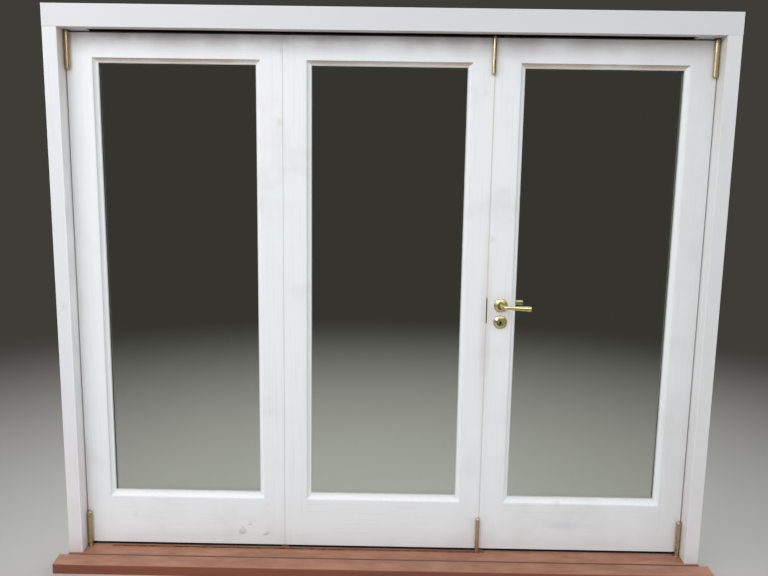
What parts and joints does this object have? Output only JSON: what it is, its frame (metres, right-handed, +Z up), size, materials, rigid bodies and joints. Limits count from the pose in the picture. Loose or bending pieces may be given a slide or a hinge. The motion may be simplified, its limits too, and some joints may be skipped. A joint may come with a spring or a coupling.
{
  "type": "folding door set",
  "caption": "Glazed timber folding door set in its frame: a hinged pair of leaves on a top track beside a lever-handled swing leaf, over a stained sloping sill.",
  "frame": {"origin": "middle of the frame's front plane, on the underside of the sill", "axes": "+X along the width of the opening, to the right seen from outside; +Y into the building; +Z up"},
  "size_m": [2.458, 0.2245, 2.048],
  "materials": {
    "white_paint": "white undercoat on softwood, satin",
    "stained_hardwood": "red-brown stain, satin",
    "glass": "clear float glass",
    "brass": "polished, lacquered",
    "steel": "zinc plated",
    "aluminium": "mill finish",
    "dark_aluminium": "dark anodised",
    "dark_brass": "darkened by the weather",
    "nylon": "moulded",
    "white_seal": "soft, matt"
  },
  "bodies": {
    "frame": {"frame_head": "white_paint", "head_stop": "white_paint", "left_jamb": "white_paint", "right_jamb": "white_paint", "sill": "stained_hardwood", "weather_bar": "aluminium", "sill_nosing": "stained_hardwood", "top_track": "dark_aluminium", "guide_channel": "dark_brass", "frame_seals": "white_seal", "pivot_bushes": "brass", "pivot_pins": "brass"},
    "left_leaf": {"left_leaf_left_stile": "white_paint", "left_leaf_right_stile": "white_paint", "left_leaf_top_rail": "white_paint", "left_leaf_bottom_rail": "white_paint", "left_leaf_beads": "white_paint", "left_leaf_outer_pane": "glass", "left_leaf_inner_pane": "glass", "left_leaf_spacer": "aluminium", "left_pivot_barrels": "brass", "left_fold_plates": "brass", "fold_seal": "white_seal"},
    "middle_leaf": {"middle_leaf_left_stile": "white_paint", "middle_leaf_right_stile": "white_paint", "middle_leaf_top_rail": "white_paint", "middle_leaf_bottom_rail": "white_paint", "middle_leaf_beads": "white_paint", "middle_leaf_outer_pane": "glass", "middle_leaf_inner_pane": "glass", "middle_leaf_spacer": "aluminium", "middle_fold_plates": "brass", "fold_pins": "brass", "carrier_barrels": "brass", "strike_plate": "brass", "flush_bolt_plates": "brass"},
    "carrier": {"trolley_body": "aluminium", "guide_pin": "brass"},
    "left_wheelset": {"left_trolley_wheels": "nylon"},
    "right_wheelset": {"right_trolley_wheels": "nylon"},
    "upper_bolt": {"upper_flush_bolt": "brass"},
    "lower_bolt": {"lower_flush_bolt": "brass"},
    "right_leaf": {"right_leaf_left_stile": "white_paint", "right_leaf_right_stile": "white_paint", "right_leaf_top_rail": "white_paint", "right_leaf_bottom_rail": "white_paint", "right_leaf_beads": "white_paint", "right_leaf_outer_pane": "glass", "right_leaf_inner_pane": "glass", "right_leaf_spacer": "aluminium", "right_pivot_barrels": "brass", "lock_case": "steel", "lever_roses": "brass", "key_escutcheons": "brass", "meeting_seal": "white_seal"},
    "lever": {"outer_lever": "brass", "inner_lever": "brass", "spindle": "steel"},
    "latch": {"latch_bolt": "steel"},
    "bolt": {"dead_bolt": "steel"}
  },
  "joints": [
    {"name": "left_leaf_swing", "type": "hinge", "parent": "frame", "child": "left_leaf", "pos_m": [-1.132, 0.042, 1], "axis": [0, 0, -1], "range_deg": [0, 90], "deforming": ["meeting_seal"]},
    {"name": "middle_leaf_fold", "type": "hinge", "parent": "left_leaf", "child": "middle_leaf", "pos_m": [-0.38475, 0.1, 1], "axis": [0, 0, 1], "range_deg": [0, 180]},
    {"name": "carrier_swivel", "type": "hinge", "parent": "middle_leaf", "child": "carrier", "pos_m": [0.3625, 0.042, 1], "axis": [0, 0, -1], "range_deg": [0, 90]},
    {"name": "left_wheels_spin", "type": "hinge", "parent": "carrier", "child": "left_wheelset", "pos_m": [0.3455, 0.042, 1.9828], "axis": [0, 1, 0], "continuous": true},
    {"name": "right_wheels_spin", "type": "hinge", "parent": "carrier", "child": "right_wheelset", "pos_m": [0.3795, 0.042, 1.9828], "axis": [0, 1, 0], "continuous": true},
    {"name": "right_leaf_swing", "type": "hinge", "parent": "frame", "child": "right_leaf", "pos_m": [1.132, 0.042, 1], "axis": [0, 0, 1], "range_deg": [0, 90]},
    {"name": "lever_turn", "type": "hinge", "parent": "right_leaf", "child": "lever", "pos_m": [0.42, 0.072, 1.021], "axis": [0, 1, 0], "range_deg": [0, 40], "stiffness_Nm_per_rad": 1.5, "springref_deg": -22.92},
    {"name": "latch_slide", "type": "slide", "parent": "right_leaf", "child": "latch", "axis": [1, 0, 0], "range_m": [0, 0.01]},
    {"name": "dead_bolt_slide", "type": "slide", "parent": "right_leaf", "child": "bolt", "axis": [-1, 0, 0], "range_m": [0, 0.014]},
    {"name": "upper_bolt_slide", "type": "slide", "parent": "middle_leaf", "child": "upper_bolt", "axis": [0, 0, 1], "range_m": [0, 0.016]},
    {"name": "lower_bolt_slide", "type": "slide", "parent": "middle_leaf", "child": "lower_bolt", "axis": [0, 0, -1], "range_m": [0, 0.016]}
  ],
  "couplings": [
    {"joint": "middle_leaf_fold", "follows": "left_leaf_swing", "ratio": 2},
    {"joint": "carrier_swivel", "follows": "left_leaf_swing", "ratio": 1},
    {"joint": "latch_slide", "follows": "lever_turn", "m_per_rad": 0.01432}
  ]
}
